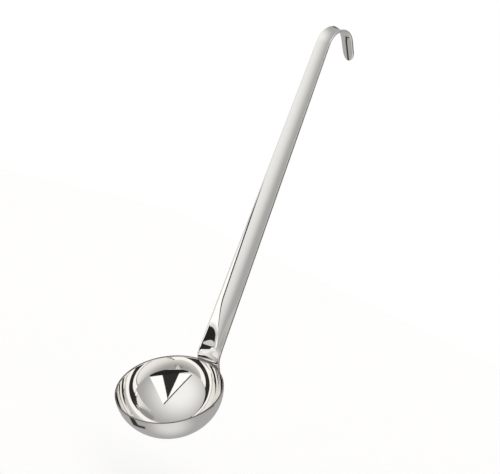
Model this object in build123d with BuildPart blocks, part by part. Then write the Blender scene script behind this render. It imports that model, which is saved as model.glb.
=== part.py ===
"""Soup ladle: a pressed round bowl, and a strip handle with a hollow front, spot welded to its outside.

The ladle hangs from its hook. The origin is the seat of the hook, where a rail touches it.
+Z runs up along the straight handle, +X points away from the bowl, and XZ is the plane of symmetry.
Lengths are in millimetres and angles in degrees.
"""
from build123d import *
import math
import os

os.makedirs("parts", exist_ok=True)

# Bowl
bowl_radius = 46.0
bowl_depth = 39.4
bowl_wall = 1.2
rim_round = 0.5

# Handle strip, with widths over its round edges
strip_thickness = 2.0
edge_bulge = 0.5
shaft_length = 277.8
width_at_rim = 27.4
width_at_foot = 25.3
width_at_hook = 14.55
rim_bend_radius = 18.8
lean_angle = 35.2

# Hollow front: tilt of its flanks at the edges, and how sharp its crease is (1 is a parabola)
tilt_at_neck = 46.0
tilt_at_foot = 27.0
tilt_at_hook = 20.0
crease_at_neck = 2.2
crease_at_foot = 1.8
crease_at_hook = 1.0

# Flare above the rim, then heights over the rim's bend of the flat foot and of the neck
flare_length = 20.0
foot_height = 3.0
foot_blend = 9.0
neck_height = 46.0

# Hook, measured along the middle of the strip's edges
hook_radius = 15.4
hook_wrap_angle = 140.8
tip_length = 19.5
width_at_tip = 11.7
tip_round_length = 8.5

# Tongue of the handle on the outside of the bowl
tongue_height = 27.0
seam_gap = 0.1

# Spot welds between the tongue and the bowl
weld_radius = 2.5
weld_bite = 0.5

# How far cutting tools run past what they cut
overrun = 3.0

# Where sections lie: down the tongue, round the bend at the rim, up the neck and shaft, and round the hook
tongue_depth_shares = (1.03, 0.95, 0.85, 0.72, 0.58, 0.44, 0.3, 0.18, 0.08)
bend_shares = (0.0, 0.2, 0.4, 0.6, 0.8, 1.0)
shaft_shares = (0.0, 0.25, 0.5, 0.75, 1.0)
neck_section_count = 24
hook_section_count = 16
weld_depth_shares = (0.3, 0.72)
face_turns = (-1, -0.7, -0.35, 0, 0.35, 0.7, 1)

# Directions of the bowl, and sizes that follow from those above
across = Vector(0, 1, 0)
lean = math.radians(lean_angle)
outward = Vector(math.cos(lean), 0, math.sin(lean))
upward = Vector(-math.sin(lean), 0, math.cos(lean))
half_strip = strip_thickness / 2
slope_at_neck = math.tan(math.radians(tilt_at_neck))
slope_at_foot = math.tan(math.radians(tilt_at_foot))
slope_at_hook = math.tan(math.radians(tilt_at_hook))
hook_length = math.radians(hook_wrap_angle) * hook_radius + tip_length


def blend(low, high, share):
    """Value at a share of the way from low to high."""
    return low + (high - low) * share


def hook_width(length):
    """Width of the strip at a length along the hook."""
    return blend(width_at_hook, width_at_tip, length / hook_length)


def wrap_shape(width, surface_radius):
    """Edge slope and crease of a strip that wraps round a surface of the bowl: an arc of a circle."""
    sine = (width / 2 - edge_bulge) / (surface_radius + seam_gap + half_strip)
    cosine = math.sqrt(1 - sine ** 2)
    return sine / cosine, cosine


def hollow_depth(width, slope, crease):
    """Depth of the hollow front, from the edges of its face to its middle."""
    return (width / 2 - edge_bulge) * slope * crease / (1 + crease)


# Places that follow from the sizes above: the inside of the hook touches the rail in its middle
seat_hollow = hollow_depth(hook_width(math.pi / 2 * hook_radius), slope_at_hook, crease_at_hook)
hook_centre_z = half_strip + seat_hollow - hook_radius
shaft_foot_z = hook_centre_z - shaft_length
bend_centre = Vector(rim_bend_radius - hook_radius, 0, shaft_foot_z)
rim_slope, rim_crease = wrap_shape(width_at_rim, bowl_radius)
rim_edge_radius = bowl_radius + seam_gap + half_strip - hollow_depth(width_at_rim, rim_slope, rim_crease)
bowl_centre = bend_centre - outward * (rim_bend_radius + rim_edge_radius)
bowl_axis = Axis(bowl_centre, upward)
bowl_section_plane = Plane(origin=bowl_centre, x_dir=outward, z_dir=-across)


def conic_point(edge, slope, crease, turn):
    """Place across the strip and rise over its middle, on the conic of its face, for a turn from -1 to 1."""
    spread = 1 + crease + (1 - crease) * turn ** 2
    return 2 * edge * turn / spread, edge * slope * ((1 + turn ** 2) / spread - 1 / (1 + crease))


def strip_section(middle, direction, width, slope, crease):
    """Section of the strip at its middle: a hollow front, a back that follows it, and round edges."""
    edge = width / 2 - edge_bulge
    hollow = hollow_depth(width, slope, crease)
    top, bottom = hollow + half_strip, hollow - half_strip
    face = [conic_point(edge, slope, crease, turn) for turn in face_turns]
    with BuildSketch(Plane(origin=middle, x_dir=across, z_dir=direction)) as section:
        with BuildLine():
            Spline([(x, rise + half_strip) for x, rise in face])
            ThreePointArc((edge, top), (edge + edge_bulge, hollow), (edge, bottom))
            Spline([(x, rise - half_strip) for x, rise in reversed(face)])
            ThreePointArc((-edge, bottom), (-edge - edge_bulge, hollow), (-edge, top))
        make_face()
    return section.sketch


def section_on_edges(edge_point, direction, width, slope, crease):
    """Section whose edges lie at a point, with its middle behind them."""
    middle = edge_point - direction.cross(across) * hollow_depth(width, slope, crease)
    return strip_section(middle, direction, width, slope, crease)


def bowl_surface(depth):
    """Point, outward normal and radius of curvature across the meridian, on the bowl's outside."""
    radius = bowl_radius * math.sqrt(1 - (depth / bowl_depth) ** 2)
    slope = outward * (radius / bowl_radius ** 2) - upward * (depth / bowl_depth ** 2)
    normal = slope.normalized()
    return bowl_centre + outward * radius - upward * depth, normal, radius / normal.dot(outward)


def tongue_section(depth):
    """Section of the strip where it lies on the bowl, a seam's gap away from it."""
    point, normal, surface_radius = bowl_surface(depth)
    slope, crease = wrap_shape(width_at_rim, surface_radius)
    middle = point + normal * (seam_gap + half_strip)
    return strip_section(middle, normal.cross(across), width_at_rim, slope, crease)


def handle_section(edge_point, direction, length):
    """Section at a length above the rim, where the bowl's form gives way to the neck's and the shaft's."""
    height = length - rim_bend_radius * lean
    climb = height / shaft_length
    neck = min(1, max(0, 1 - height / neck_height)) ** 2
    rest = min(1, max(0, (foot_height - height) / foot_blend)) ** 2
    flare = max(0, 1 - length / flare_length) ** 2
    width = blend(blend(width_at_foot, width_at_hook, climb), width_at_rim, flare)
    free_slope = blend(blend(slope_at_foot, slope_at_hook, climb), slope_at_neck, neck)
    free_crease = blend(blend(crease_at_foot, crease_at_hook, climb), crease_at_neck, neck)
    slope, crease = blend(free_slope, rim_slope, rest), blend(free_crease, rim_crease, rest)
    return section_on_edges(edge_point, direction, width, slope, crease)


def bend_section(turned):
    """Section in the bend at the rim, after a turn in radians."""
    heading = upward * math.cos(turned) + outward * math.sin(turned)
    edge_point = bend_centre + heading.cross(across) * rim_bend_radius
    return handle_section(edge_point, heading, rim_bend_radius * turned)


def shaft_section(height):
    """Section of the straight handle, whose edges lie on one line."""
    edge_point = Vector(-hook_radius, 0, shaft_foot_z + height)
    return handle_section(edge_point, Vector(0, 0, 1), rim_bend_radius * lean + height)


def hook_frame(turn, beyond):
    """Point between the strip's edges and direction, after a turn in degrees and a length beyond the bend."""
    direction = Vector(math.sin(math.radians(turn)), 0, math.cos(math.radians(turn)))
    return Vector(0, 0, hook_centre_z) + direction.cross(across) * hook_radius + direction * beyond, direction


def hook_section(turn, beyond):
    """Section of the hook."""
    point, direction = hook_frame(turn, beyond)
    width = hook_width(math.radians(turn) * hook_radius + beyond)
    return section_on_edges(point, direction, width, slope_at_hook, crease_at_hook)


def round_off_end(end, direction, radius, length, reach):
    """Trim the strip to half an ellipse that touches the end point."""
    with BuildSketch(Plane(origin=end, x_dir=across, z_dir=across.cross(direction))) as trim:
        with Locations((0, (overrun - length) / 2)):
            Rectangle(2 * (radius + overrun), length + overrun)
        with Locations((0, -length)):
            Ellipse(radius, length, mode=Mode.SUBTRACT)
    extrude(trim.sketch, amount=reach, both=True, mode=Mode.SUBTRACT)


def weld_discs(radius, mode):
    """Discs through the seam of tongue and bowl at each weld, either nuggets or the pockets that hold them."""
    for share in weld_depth_shares:
        point, normal, _ = bowl_surface(tongue_height * share)
        with BuildSketch(Plane(origin=point, x_dir=across, z_dir=normal).offset(-weld_bite)) as disc:
            Circle(radius)
        extrude(disc.sketch, amount=seam_gap + 2 * weld_bite, mode=mode)


# Bowl: half a spheroid turned about its own axis, with a rounded rim
with BuildPart() as bowl:
    with BuildSketch(bowl_section_plane) as bowl_profile:
        with BuildLine():
            EllipticalCenterArc((0, 0), bowl_radius, bowl_depth, start_angle=270, arc_size=90)
            Line((bowl_radius, 0), (bowl_radius - bowl_wall, 0))
            EllipticalCenterArc((0, 0), bowl_radius - bowl_wall, bowl_depth - bowl_wall, start_angle=270, arc_size=90)
            Line((0, bowl_wall - bowl_depth), (0, -bowl_depth))
        make_face()
        fillet(bowl_profile.vertices().group_by(Axis.Y)[-1], radius=rim_round)
    revolve(axis=bowl_axis)
    weld_discs(weld_radius + seam_gap, Mode.SUBTRACT)
bowl.part.label = "bowl"
export_step(bowl.part, "parts/bowl.step")

# Handle: tongue, bend and neck, straight shaft, hook, then its two round ends and the welds' pockets
with BuildPart() as handle:
    tongue = [tongue_section(tongue_height * share) for share in tongue_depth_shares]
    loft(tongue + [bend_section(lean * share) for share in bend_shares])
    neck_steps = [neck_height * index / neck_section_count for index in range(neck_section_count + 1)]
    loft([shaft_section(height) for height in neck_steps], ruled=True)
    loft([shaft_section(blend(neck_height, shaft_length, share)) for share in shaft_shares])

    turns = [hook_wrap_angle * index / hook_section_count for index in range(hook_section_count + 1)]
    loft([hook_section(turn, 0) for turn in turns])
    loft([hook_section(hook_wrap_angle, reach) for reach in (0, tip_length)], ruled=True)
    tip, tip_direction = hook_frame(hook_wrap_angle, tip_length)
    tip_radius = hook_width(hook_length - tip_round_length) / 2
    round_off_end(tip, tip_direction, tip_radius, tip_round_length, width_at_tip)

    tongue_point, tongue_normal, _ = bowl_surface(tongue_height)
    tongue_radius = width_at_rim / 2
    round_off_end(tongue_point, across.cross(tongue_normal), tongue_radius, tongue_radius, tongue_radius)
    weld_discs(weld_radius + seam_gap, Mode.SUBTRACT)
handle.part.label = "handle"
export_step(handle.part, "parts/handle.step")

# Spot welds: nuggets of fused metal that join the tongue to the bowl's wall
with BuildPart() as spot_welds:
    weld_discs(weld_radius, Mode.ADD)
spot_welds.part.label = "spot_welds"
export_step(spot_welds.part, "parts/spot_welds.step")
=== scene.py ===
"""Looks of the soup ladle: a polished bowl and strip handle, hanging in a white studio.

The frame is the CAD model's, in metres. Shapes are worked out in millimetres, then scaled.
"""
from collections import namedtuple
import math

import bmesh
import bpy
from mathutils import Matrix, Vector


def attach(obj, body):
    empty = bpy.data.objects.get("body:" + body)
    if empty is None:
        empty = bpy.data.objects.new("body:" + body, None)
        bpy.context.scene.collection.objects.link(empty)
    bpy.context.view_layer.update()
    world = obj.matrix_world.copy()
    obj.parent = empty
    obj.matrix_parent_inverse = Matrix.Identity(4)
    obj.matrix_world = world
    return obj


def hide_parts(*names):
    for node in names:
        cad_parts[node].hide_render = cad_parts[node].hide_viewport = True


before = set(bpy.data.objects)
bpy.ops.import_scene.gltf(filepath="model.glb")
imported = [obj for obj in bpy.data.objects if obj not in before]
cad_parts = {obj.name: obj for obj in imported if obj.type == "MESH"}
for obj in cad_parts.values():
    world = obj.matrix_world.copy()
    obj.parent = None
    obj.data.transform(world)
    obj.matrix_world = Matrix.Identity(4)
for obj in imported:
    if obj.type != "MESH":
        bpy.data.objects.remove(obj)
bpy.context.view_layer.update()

millimetre = 0.001

# Bowl, whose inner curve would be widest at inner_lift above the rim
bowl_radius = 46.0
bowl_depth = 39.4
bowl_wall = 1.2
rim_round = 0.5
inner_lift = 2.0

# Handle strip, with widths from edge to edge
strip_thickness = 2.0
edge_bulge = 0.5
shaft_length = 277.8
width_at_rim = 27.4
width_at_foot = 25.3
width_at_hook = 14.55
rim_bend_radius = 18.8
lean_angle = 35.2

# Hollow front: the tilt of its flanks at the edges, and how sharp its crease is, where 1 is a parabola
tilt_at_neck = 46.0
tilt_at_foot = 27.0
tilt_at_hook = 20.0
crease_at_neck = 2.2
crease_at_foot = 1.8
crease_at_hook = 1.0

# Fading of the flare above the rim, then of the bowl's form and the neck's form above the shaft's foot
flare_length = 20.0
foot_height = 3.0
foot_blend = 9.0
neck_height = 46.0

# Hook, measured on the line of the strip's edges, and its round tip
hook_radius = 15.4
hook_wrap_angle = 140.8
tip_length = 19.5
width_at_tip = 11.7
tip_round_length = 8.5

# Tongue of the handle on the outside of the bowl
tongue_height = 27.0
seam_gap = 0.1

# Camera, about the centre of the rim and in the bowl's own directions
camera_azimuth = -40.85
camera_elevation = 31.80
camera_roll = -5.84
camera_distance = 1200.0
camera_right = 67.85
camera_up = 126.77
picture_width = 500.0
focal_pixels = 1430.74
sensor_width = 36.0

# Studio that the metal mirrors, placed in degrees right of and above the direction to the camera
studio_light = 0.42
studio_tint = (1.0, 0.99, 0.97)
zero_guard = 0.000001  # keeps a division from zero straight towards the camera

# Glows of the studio: level, inner reach, outer reach and middle
studio_glows = (
    (0.97, 15.0, 90.0, (-20, 30)),
    (0.75, 10.0, 62.0, (5, -85)),
    (0.9, 10.0, 60.0, (140, 20)),
    (0.95, 4.0, 18.0, (-142, 27)),
)

# Areas of the studio: level, softness and corners, which run anticlockwise
studio_areas = (
    (1.12, 1.2, ((-50, -14.4), (43, -7), (11.3, 60.3))),  # white panel
    (0.03, 0.4, ((-23.6, -22), (18.4, -22), (3, 48))),  # dark opening in the panel
    (0.02, 0.4, ((-41, -17.5), (-41, -23), (8, -23), (8, -9))),  # left part of the dark band
    (0.02, 0.4, ((2, -23), (43, -23), (43, -8.5), (2, -9.6))),  # right part of the dark band
    (0.03, 0.4, ((-49, -11.2), (-47, -12.8), (11.5, 58.6), (9.5, 60.2))),  # seam beside the panel
    (0.3, 4.0, ((30, 92), (64, 64), (74, 77), (38, 106))),  # grey patch overhead
    (0.05, 2.5, ((-76, -103), (-54, -103), (-54, -92), (-76, -92))),  # dark patch low on the left
    (1.1, 1.5, ((-76, -30), (-57, -30), (-57, -14), (-76, -14))),  # light patch, shown by the handle's foot
    (0.04, 2.0, ((-97, -53), (-86, -103), (-68, -103), (-83, -55))),  # dark streak, shown by the hook's leg
    (0.1, 3.0, ((42, 116), (66, 116), (66, 150), (42, 150))),  # dark patch, shown by the hook's top
    (0.12, 4.0, ((28, -56), (110, -56), (110, -27), (28, -27))),  # dark side, shown by the strip's edge
)

# Colours of the steels
steel_colour = (0.93, 0.92, 0.9)
edge_colour = (0.28, 0.27, 0.26)
fused_colour = (0.6, 0.59, 0.58)

# Marks in the steels: noise scales are per metre, and a mark grows between its two limits
grain_scale = 2600.0
grain_detail = 3.0
grain_roughness = 0.5
grain_stretch = 0.04
grain_depth = 0.02
patch_scale = 45.0
patch_detail = 4.0
patch_roughness = 0.6
patch_shade = 0.97
scratch_scale = 130.0
scratch_width = 0.006
scratch_limits = (0.5, 0.62)
wear_limits = (0.52, 0.6)

# Floor
floor_z = -420.0
floor_size = 3000.0
floor_shade = 0.8
floor_glow = 0.53

# How finely the meshes are cut, and how near two points are when they are joined
bowl_turn_count = 256
bowl_arc_count = 96
rim_round_count = 5
face_line_count = 41
edge_line_count = 9
end_round_count = 24
bend_step = 0.8
shaft_step = 6.0
bowl_join_reach = 0.0001
strip_join_reach = 0.001

# Cut across the strip: its middle, its direction, and the width, edge slope and crease of its front
Station = namedtuple("Station", "middle direction width slope crease")


def blend(low, high, share):
    """Value at a share of the way from low to high."""
    return low + (high - low) * share


def steps(low, high, size):
    """Evenly spread values after low and up to high, about size apart."""
    count = max(1, math.ceil(abs(high - low) / size))
    return [blend(low, high, (i + 1) / count) for i in range(count)]


def slope_of(tilt):
    """Slope of a tilt in degrees."""
    return math.tan(math.radians(tilt))


def wrap_shape(width, surface_radius):
    """Edge slope and crease of a strip that wraps round a surface of the bowl."""
    sine = (width / 2 - edge_bulge) / (surface_radius + seam_gap + half_strip)
    cosine = math.sqrt(1 - sine ** 2)
    return sine / cosine, cosine


def hollow_depth(width, slope, crease):
    """Depth of the hollow in the front of a strip, from the edges of its face to its middle."""
    return (width / 2 - edge_bulge) * slope * crease / (1 + crease)


# Places that follow from the sizes above
across = Vector((0, 1, 0))
lean = math.radians(lean_angle)
outward = Vector((math.cos(lean), 0, math.sin(lean)))
upward = Vector((-math.sin(lean), 0, math.cos(lean)))
half_strip = strip_thickness / 2
slope_at_neck = slope_of(tilt_at_neck)
slope_at_foot = slope_of(tilt_at_foot)
slope_at_hook = slope_of(tilt_at_hook)
slope_at_rim, crease_at_rim = wrap_shape(width_at_rim, bowl_radius)
hook_length = math.radians(hook_wrap_angle) * hook_radius + tip_length
width_at_seat = blend(width_at_hook, width_at_tip, math.pi / 2 * hook_radius / hook_length)
hook_centre_z = half_strip + hollow_depth(width_at_seat, slope_at_hook, crease_at_hook) - hook_radius
shaft_foot_z = hook_centre_z - shaft_length
bend_centre = Vector((rim_bend_radius - hook_radius, 0, shaft_foot_z))
rim_middle_radius = bowl_radius + seam_gap + half_strip
rim_hollow = hollow_depth(width_at_rim, slope_at_rim, crease_at_rim)
bowl_centre = bend_centre - outward * (rim_bend_radius + rim_middle_radius - rim_hollow)


def mesh_object(name, points, faces):
    """A smooth-shaded object from points in millimetres."""
    mesh = bpy.data.meshes.new(name)
    mesh.from_pydata([point * millimetre for point in points], [], faces)
    mesh.validate()
    mesh.polygons.foreach_set("use_smooth", [True] * len(mesh.polygons))
    piece = bpy.data.objects.new(name, mesh)
    bpy.context.scene.collection.objects.link(piece)
    return piece


def join_doubles(piece, reach):
    """Join the points that meet where a mesh closes, and turn all its faces outward."""
    mesh = bmesh.new()
    mesh.from_mesh(piece.data)
    bmesh.ops.remove_doubles(mesh, verts=mesh.verts, dist=reach * millimetre)
    bmesh.ops.recalc_face_normals(mesh, faces=mesh.faces)
    mesh.to_mesh(piece.data)
    mesh.free()


def ellipse_points(radius, depth, lift, start, end):
    """Points between two angles of an ellipse, whose middle is lifted above the rim."""
    angles = [blend(start, end, i / bowl_arc_count) for i in range(bowl_arc_count + 1)]
    return [(radius * math.cos(angle), depth * math.sin(angle) + lift) for angle in angles]


def rim_points():
    """Points of the rim's two round edges, from the outside to the inside."""
    outer, inner = bowl_radius - rim_round, bowl_radius - bowl_wall + rim_round
    turns = [math.pi / 2 * i / rim_round_count for i in range(1, rim_round_count + 1)]
    points = [(outer + rim_round * math.cos(turn), rim_round * math.sin(turn) - rim_round) for turn in turns]
    turns.reverse()
    points += [(inner - rim_round * math.cos(turn), rim_round * math.sin(turn) - rim_round) for turn in turns]
    return points


def bowl_profile():
    """Radius and height of the bowl's section, from the bottom outside over the rim to the bottom inside."""
    bottom = -math.pi / 2
    outside = ellipse_points(bowl_radius, bowl_depth, 0, bottom, -math.asin(rim_round / bowl_depth))
    inner_depth = bowl_depth - bowl_wall + inner_lift
    inner_radius = (bowl_radius - bowl_wall) / math.sqrt(1 - (inner_lift / inner_depth) ** 2)
    start = -math.asin((rim_round + inner_lift) / inner_depth)
    return outside + rim_points() + ellipse_points(inner_radius, inner_depth, inner_lift, start, bottom)


def make_bowl():
    """The bowl, turned about its own axis, whose rim takes the second material."""
    profile = bowl_profile()
    size = len(profile)
    points, faces = [], []
    for turn in range(bowl_turn_count):
        angle = math.tau * turn / bowl_turn_count
        spoke = outward * math.cos(angle) + across * math.sin(angle)
        points += [bowl_centre + spoke * radius + upward * height for radius, height in profile]
        here, there = turn * size, (turn + 1) % bowl_turn_count * size
        faces += [(here + i, there + i, there + i + 1, here + i + 1) for i in range(size - 1)]
    piece = mesh_object("ladle_bowl", points, faces)
    on_rim = [bowl_arc_count <= i <= bowl_arc_count + 2 * rim_round_count for i in range(size - 1)]
    piece.data.polygons.foreach_set("material_index", on_rim * bowl_turn_count)
    join_doubles(piece, bowl_join_reach)
    return piece


def bowl_surface(depth):
    """Point, outward normal and radius of curvature across the meridian, on the bowl's outside."""
    radius = bowl_radius * math.sqrt(1 - (depth / bowl_depth) ** 2)
    normal = (outward * (radius / bowl_radius ** 2) - upward * (depth / bowl_depth ** 2)).normalized()
    return bowl_centre + outward * radius - upward * depth, normal, radius / normal.dot(outward)


def tongue_station(depth):
    """Station of the tongue, a seam's gap off the bowl at a depth below the rim."""
    point, normal, surface_radius = bowl_surface(depth)
    middle = point + normal * (seam_gap + half_strip)
    return Station(middle, normal.cross(across), width_at_rim, *wrap_shape(width_at_rim, surface_radius))


def station_on_edges(edge_point, direction, width, slope, crease):
    """Station whose edges lie at a point, with its middle behind them."""
    middle = edge_point - direction.cross(across) * hollow_depth(width, slope, crease)
    return Station(middle, direction, width, slope, crease)


def handle_station(length, edge_point, direction):
    """Station at a length above the rim, where the form changes from the bowl's to the neck's and shaft's."""
    height = length - rim_bend_radius * lean
    climb = height / shaft_length
    neck = min(1, max(0, 1 - height / neck_height)) ** 2
    rest = min(1, max(0, (foot_height - height) / foot_blend)) ** 2
    flare = max(0, 1 - length / flare_length) ** 2
    width = blend(blend(width_at_foot, width_at_hook, climb), width_at_rim, flare)
    slope = blend(blend(slope_at_foot, slope_at_hook, climb), slope_at_neck, neck)
    crease = blend(blend(crease_at_foot, crease_at_hook, climb), crease_at_neck, neck)
    slope, crease = blend(slope, slope_at_rim, rest), blend(crease, crease_at_rim, rest)
    return station_on_edges(edge_point, direction, width, slope, crease)


def rim_bend_station(turned):
    """Station in the bend at the rim, after a turn in radians from the bowl's axis."""
    heading = upward * math.cos(turned) + outward * math.sin(turned)
    edge_point = bend_centre + heading.cross(across) * rim_bend_radius
    return handle_station(rim_bend_radius * turned, edge_point, heading)


def shaft_station(height):
    """Station of the straight shaft, whose edges lie on one line when seen from the side."""
    edge_point = Vector((-hook_radius, 0, shaft_foot_z + height))
    return handle_station(rim_bend_radius * lean + height, edge_point, Vector((0, 0, 1)))


def hook_station(turn, beyond):
    """Station of the hook, after a turn in degrees and a length beyond the bend."""
    length = math.radians(turn) * hook_radius + beyond
    width = blend(width_at_hook, width_at_tip, length / hook_length)
    direction = Vector((math.sin(math.radians(turn)), 0, math.cos(math.radians(turn))))
    edge_point = Vector((0, 0, hook_centre_z)) + direction.cross(across) * hook_radius + direction * beyond
    return station_on_edges(edge_point, direction, width, slope_at_hook, crease_at_hook)


def strip_stations():
    """Stations of the whole strip, from the tongue's end to the hook's tip."""
    turn_step = math.degrees(bend_step / hook_radius)
    stations = [tongue_station(depth) for depth in [tongue_height] + steps(tongue_height, 0, bend_step)]
    stations += [rim_bend_station(turned) for turned in steps(0, lean, bend_step / rim_bend_radius)]
    stations += [shaft_station(height) for height in steps(0, neck_height, bend_step)]
    stations += [shaft_station(height) for height in steps(neck_height, shaft_length, shaft_step)]
    stations += [hook_station(turn, 0) for turn in steps(0, hook_wrap_angle, turn_step)]
    stations += [hook_station(hook_wrap_angle, beyond) for beyond in steps(0, tip_length, bend_step)]
    return stations


def station_at(stations, lengths, length):
    """Station at a length along the strip."""
    high = max(1, next((i for i, value in enumerate(lengths) if value >= length), len(lengths) - 1))
    share = (length - lengths[high - 1]) / (lengths[high] - lengths[high - 1])
    station = Station(*(blend(low, top, share) for low, top in zip(stations[high - 1], stations[high])))
    return station._replace(direction=station.direction.normalized())


def rise(y, edge, slope, crease):
    """Rise of the hollow face at a distance from its middle: a conic that meets its edges at the slope."""
    share = y / edge
    turned = (1 + crease) * share / (1 + math.sqrt(max(0, 1 + (crease ** 2 - 1) * share ** 2)))
    return edge * slope * ((1 + turned ** 2) / (1 + crease + (1 - crease) * turned ** 2) - 1 / (1 + crease))


def face_shares(crease):
    """Shares of the half width where the lines of a face lie, closest at the crease."""
    turns = [2 * i / (face_line_count - 1) - 1 for i in range(face_line_count)]
    return [2 * turn / (1 + crease + (1 - crease) * turn ** 2) for turn in turns]


def edge_profile():
    """Inset from the outline and height over the strip's middle, round one edge from front to back."""
    radius = (half_strip ** 2 + edge_bulge ** 2) / (2 * edge_bulge)
    reach = math.asin(half_strip / radius)
    turns = [reach * (1 - 2 * i / (edge_line_count - 1)) for i in range(edge_line_count)]
    return [(radius * (1 - math.cos(turn)), radius * math.sin(turn)) for turn in turns]


def round_end_rows(widest, reach, radius, start, end):
    """Rows of an end whose outline is half an ellipse, between two angles from its widest place."""
    rows = []
    for i in range(end_round_count + 1):
        angle = blend(start, end, i / end_round_count)
        normal = Vector((math.sin(angle) / reach, math.cos(angle) / radius)).normalized()
        rows.append((widest + reach * math.sin(angle), radius * math.cos(angle), normal))
    return rows


def outline_rows(stations, lengths):
    """For each cut across the strip: its length, half width, and the outline's normal along and across."""
    tongue, tip = width_at_rim / 2, lengths[-1] - tip_round_length
    rows = round_end_rows(tongue, tongue, station_at(stations, lengths, tongue).width / 2, -math.pi / 2, 0)
    for length in lengths:
        if tongue < length < tip:
            rows.append((length, station_at(stations, lengths, length).width / 2, Vector((0, 1))))
    tip_radius = station_at(stations, lengths, tip).width / 2
    return rows + round_end_rows(tip, tip_round_length, tip_radius, 0, math.pi / 2)


def ring_places(length, half_width, normal, crease):
    """Places round one cut: length along the strip, distance across it and height over its middle."""
    along, spread = length - edge_bulge * normal.x, half_width - edge_bulge * normal.y
    front = [(along, spread * share, half_strip) for share in face_shares(crease)]
    back = [(along, y, -half_strip) for along, y, height in reversed(front)]
    side = [(length - inset * normal.x, half_width - inset * normal.y, height)
            for inset, height in edge_profile()[1:-1]]
    other_side = [(along, -y, height) for along, y, height in reversed(side)]
    return front + side + back + other_side


def strip_point(station, y, height):
    """Point of the strip at a distance across it and a height over its middle."""
    lift = rise(y, station.width / 2 - edge_bulge, station.slope, station.crease)
    return station.middle + across * y + station.direction.cross(across) * (height + lift)


def make_handle():
    """The handle: one strip with round edges and ends, from its tongue on the bowl to the hook's tip."""
    stations = strip_stations()
    lengths = [0.0]
    for before, after in zip(stations, stations[1:]):
        lengths.append(lengths[-1] + (after.middle - before.middle).length)
    points, faces = [], []
    rows = outline_rows(stations, lengths)
    for length, half_width, normal in rows:
        crease = station_at(stations, lengths, length).crease
        for along, y, height in ring_places(length, half_width, normal, crease):
            points.append(strip_point(station_at(stations, lengths, along), y, height))
    size = len(points) // len(rows)
    for row in range(len(rows) - 1):
        here, there = row * size, (row + 1) * size
        faces += [(here + i, here + (i + 1) % size, there + (i + 1) % size, there + i) for i in range(size)]
    piece = mesh_object("ladle_handle", points, faces)
    join_doubles(piece, strip_join_reach)
    return piece


def make_camera():
    """Camera at the photograph's angle, rolled so that the hanging ladle leans as it does there."""
    angles = (camera_azimuth, camera_elevation, camera_roll)
    azimuth, elevation, roll = (math.radians(angle) for angle in angles)
    back = outward * (math.sin(azimuth) * math.cos(elevation))
    back = back - across * (math.cos(azimuth) * math.cos(elevation)) + upward * math.sin(elevation)
    level = upward.cross(back).normalized()
    above = back.cross(level)
    right = level * math.cos(roll) + above * math.sin(roll)
    top = above * math.cos(roll) - level * math.sin(roll)
    eye = bowl_centre + right * camera_right + top * camera_up + back * camera_distance
    rotation = Matrix((right, top, back)).transposed().to_4x4()
    data = bpy.data.cameras.new("camera")
    data.sensor_width = sensor_width
    data.lens = sensor_width * focal_pixels / picture_width
    camera = bpy.data.objects.new("camera", data)
    camera.matrix_world = Matrix.Translation(eye * millimetre) @ rotation
    bpy.context.scene.collection.objects.link(camera)
    bpy.context.scene.camera = camera


def math_node(tree, operation, *values):
    """Output of a maths node, whose inputs are numbers or other outputs."""
    node = tree.nodes.new("ShaderNodeMath")
    node.operation = operation
    for socket, value in zip(node.inputs, values):
        if isinstance(value, (int, float)):
            socket.default_value = value
        else:
            tree.links.new(value, socket)
    return node.outputs[0]


def vector_node(tree, operation, vector, other):
    """Output of a vector maths node between a vector output and a constant."""
    node = tree.nodes.new("ShaderNodeVectorMath")
    node.operation = operation
    tree.links.new(vector, node.inputs[0])
    node.inputs[1].default_value = other
    return node.outputs["Value" if operation == "DOT_PRODUCT" else "Vector"]


def soft_step(tree, value, low, high, to_low=0.0, to_high=1.0):
    """Smooth change from one value to another while the input goes from low to high."""
    node = tree.nodes.new("ShaderNodeMapRange")
    node.interpolation_type = "SMOOTHSTEP"
    tree.links.new(value, node.inputs["Value"])
    for name, number in (("From Min", low), ("From Max", high), ("To Min", to_low), ("To Max", to_high)):
        node.inputs[name].default_value = number
    return node.outputs[0]


def noise_node(tree, vector, scale, detail, roughness):
    """Output of a noise texture over a vector."""
    node = tree.nodes.new("ShaderNodeTexNoise")
    tree.links.new(vector, node.inputs["Vector"])
    for name, number in (("Scale", scale), ("Detail", detail), ("Roughness", roughness)):
        node.inputs[name].default_value = number
    return node.outputs["Fac"]


def studio_place(tree):
    """Degrees that each direction lies right of and above the direction to the photograph's camera."""
    camera = bpy.context.scene.camera.matrix_world.to_3x3()
    place = tree.nodes.new("ShaderNodeTexCoord").outputs["Generated"]
    right, up, front = (vector_node(tree, "DOT_PRODUCT", place, camera.col[i]) for i in range(3))
    front = math_node(tree, "MAXIMUM", math_node(tree, "MINIMUM", front, 1.0), -1.0)
    angle = math_node(tree, "MULTIPLY", math_node(tree, "ARCCOSINE", front), math.degrees(1))
    guarded = math_node(tree, "ADD", math_node(tree, "MULTIPLY", up, up), zero_guard)
    square = math_node(tree, "ADD", math_node(tree, "MULTIPLY", right, right), guarded)
    turn = math_node(tree, "DIVIDE", angle, math_node(tree, "SQRT", square))
    return math_node(tree, "MULTIPLY", right, turn), math_node(tree, "MULTIPLY", up, turn)


def tent_light(tree, right, up):
    """Light of the studio's pale tent, with its soft glows."""
    light = studio_light
    for level, inner, outer, (x, y) in studio_glows:
        aside, above = math_node(tree, "SUBTRACT", right, x), math_node(tree, "SUBTRACT", up, y)
        squares = [math_node(tree, "MULTIPLY", value, value) for value in (aside, above)]
        distance = math_node(tree, "SQRT", math_node(tree, "ADD", *squares))
        glow = soft_step(tree, distance, inner, outer, level - studio_light, 0.0)
        light = math_node(tree, "ADD", light, glow)
    return light


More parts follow.
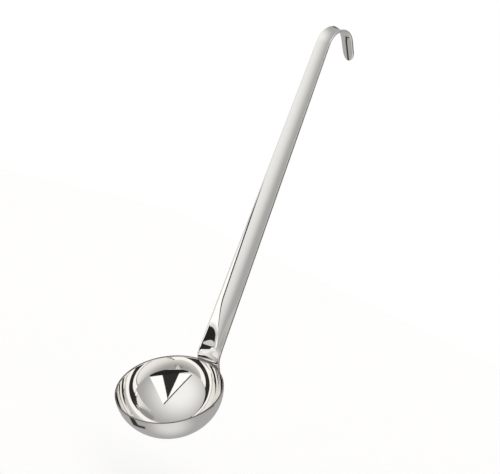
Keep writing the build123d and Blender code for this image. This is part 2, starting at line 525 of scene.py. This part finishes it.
def area_share(tree, right, up, corners, softness):
    """Share of a convex area of the studio, whose corners run anticlockwise in degrees right and up."""
    share = 1.0
    for (from_x, from_y), (to_x, to_y) in zip(corners, corners[1:] + corners[:1]):
        length = math.hypot(to_x - from_x, to_y - from_y)
        ahead, aside = (to_x - from_x) / length, (to_y - from_y) / length
        inward = math_node(tree, "SUBTRACT", math_node(tree, "MULTIPLY", up, ahead),
                           math_node(tree, "MULTIPLY", right, aside))
        inward = math_node(tree, "SUBTRACT", inward, from_y * ahead - from_x * aside)
        share = math_node(tree, "MULTIPLY", soft_step(tree, inward, -softness, softness), share)
    return share


def make_world():
    """Studio that the metal mirrors: a tent with light and dark areas. The camera sees plain white."""
    world = bpy.data.worlds.new("studio")
    world.use_nodes = True
    tree = world.node_tree
    right, up = studio_place(tree)
    light = tent_light(tree, right, up)
    for level, softness, corners in studio_areas:
        share = area_share(tree, right, up, corners, softness)
        change = math_node(tree, "MULTIPLY", math_node(tree, "SUBTRACT", level, light), share)
        light = math_node(tree, "ADD", light, change)
    tint = tree.nodes.new("ShaderNodeCombineColor")
    for socket, share in zip(tint.inputs, studio_tint):
        tree.links.new(math_node(tree, "MULTIPLY", light, share), socket)
    seen = tree.nodes.new("ShaderNodeLightPath").outputs["Is Camera Ray"]
    mix = tree.nodes.new("ShaderNodeMix")
    mix.data_type = "RGBA"
    tree.links.new(seen, mix.inputs["Factor"])
    tree.links.new(tint.outputs[0], mix.inputs["A"])
    mix.inputs["B"].default_value = (1, 1, 1, 1)
    tree.links.new(mix.outputs["Result"], tree.nodes["Background"].inputs["Color"])
    bpy.context.scene.world = world


def pale_floor():
    """Matt and glowing, so that the floor merges with the white behind it."""
    material = bpy.data.materials.new("floor")
    material.use_nodes = True
    shader = material.node_tree.nodes["Principled BSDF"]
    shader.inputs["Base Color"].default_value = (floor_shade, floor_shade, floor_shade, 1)
    shader.inputs["Roughness"].default_value = 1
    shader.inputs["Specular IOR Level"].default_value = 0
    shader.inputs["Emission Color"].default_value = (1, 1, 1, 1)
    shader.inputs["Emission Strength"].default_value = floor_glow
    return material


def make_floor():
    """Pale floor below the hanging ladle, which the metal doesn't mirror."""
    half = floor_size / 2
    middle = Vector((bowl_centre.x, bowl_centre.y, floor_z))
    corners = ((-half, -half), (half, -half), (half, half), (-half, half))
    floor = mesh_object("floor", [middle + Vector((x, y, 0)) for x, y in corners], [(0, 1, 2, 3)])
    floor.data.materials.append(pale_floor())
    floor.visible_glossy = False


def grain_pattern(tree, place):
    """Fine grain, drawn out along the handle."""
    along = vector_node(tree, "MULTIPLY", place, (1, 1, grain_stretch))
    return noise_node(tree, along, grain_scale, grain_detail, grain_roughness)


def scratch_pattern(tree, place, patches):
    """Hairline scratches, which show only on the duller patches."""
    hairs = tree.nodes.new("ShaderNodeTexVoronoi")
    hairs.feature = "DISTANCE_TO_EDGE"
    tree.links.new(place, hairs.inputs["Vector"])
    hairs.inputs["Scale"].default_value = scratch_scale
    hair = soft_step(tree, hairs.outputs["Distance"], 0.0, scratch_width, 1.0, 0.0)
    return math_node(tree, "MULTIPLY", hair, soft_step(tree, patches, *scratch_limits))


def tinted(tree, colour, patches):
    """Colour that is a little darker on the patches."""
    tint = tree.nodes.new("ShaderNodeMix")
    tint.data_type = "RGBA"
    tree.links.new(patches, tint.inputs["Factor"])
    tint.inputs["A"].default_value = (*colour, 1)
    tint.inputs["B"].default_value = (*(share * patch_shade for share in colour), 1)
    return tint.outputs["Result"]


def bumped(tree, height, strength):
    """Normal of a face that is roughened by a height."""
    bump = tree.nodes.new("ShaderNodeBump")
    bump.inputs["Strength"].default_value = strength
    bump.inputs["Distance"].default_value = grain_depth * millimetre
    tree.links.new(height, bump.inputs["Height"])
    return bump.outputs["Normal"]


def steel_material(name, colour, roughness, spread, grain, scratch):
    """Steel with grain, hairline scratches, duller patches and wear on raised edges."""
    material = bpy.data.materials.new(name)
    material.use_nodes = True
    tree = material.node_tree
    shader = tree.nodes["Principled BSDF"]
    shader.inputs["Metallic"].default_value = 1
    place = tree.nodes.new("ShaderNodeTexCoord").outputs["Object"]
    lines = grain_pattern(tree, place)
    patches = noise_node(tree, place, patch_scale, patch_detail, patch_roughness)
    scratches = scratch_pattern(tree, place, patches)
    wear = soft_step(tree, tree.nodes.new("ShaderNodeNewGeometry").outputs["Pointiness"], *wear_limits)
    dull = math_node(tree, "MULTIPLY", patches, spread)
    for mark, strength in ((lines, spread / 2), (scratches, scratch), (wear, spread)):
        dull = math_node(tree, "ADD", dull, math_node(tree, "MULTIPLY", mark, strength))
    height = math_node(tree, "ADD", lines, scratches)
    tree.links.new(math_node(tree, "ADD", dull, roughness), shader.inputs["Roughness"])
    tree.links.new(tinted(tree, colour, patches), shader.inputs["Base Color"])
    tree.links.new(bumped(tree, height, grain), shader.inputs["Normal"])
    return material


def polished_steel():
    """Bright steel of the bowl and the handle."""
    return steel_material("polished_steel", steel_colour, roughness=0.02, spread=0.02,
                          grain=0.03, scratch=0.06)


def cut_edge_steel():
    """Duller and darker steel of the bowl's rim, where the sheet was cut."""
    return steel_material("cut_edge", edge_colour, roughness=0.2, spread=0.1, grain=0.1, scratch=0.1)


def fused_steel():
    """Dull steel of the spot welds."""
    return steel_material("fused_steel", fused_colour, roughness=0.3, spread=0.2, grain=0.3, scratch=0.1)


make_camera()
make_world()
make_floor()
bowl = make_bowl()
handle = make_handle()
steel = polished_steel()
for piece, node in ((bowl, "bowl"), (handle, "handle")):
    piece.data.materials.append(steel)
    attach(piece, "root")
    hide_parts(node)
bowl.data.materials.append(cut_edge_steel())
bpy.data.objects["spot_welds"].material_slots[0].material = fused_steel()
bpy.context.scene.view_settings.view_transform = "Standard"
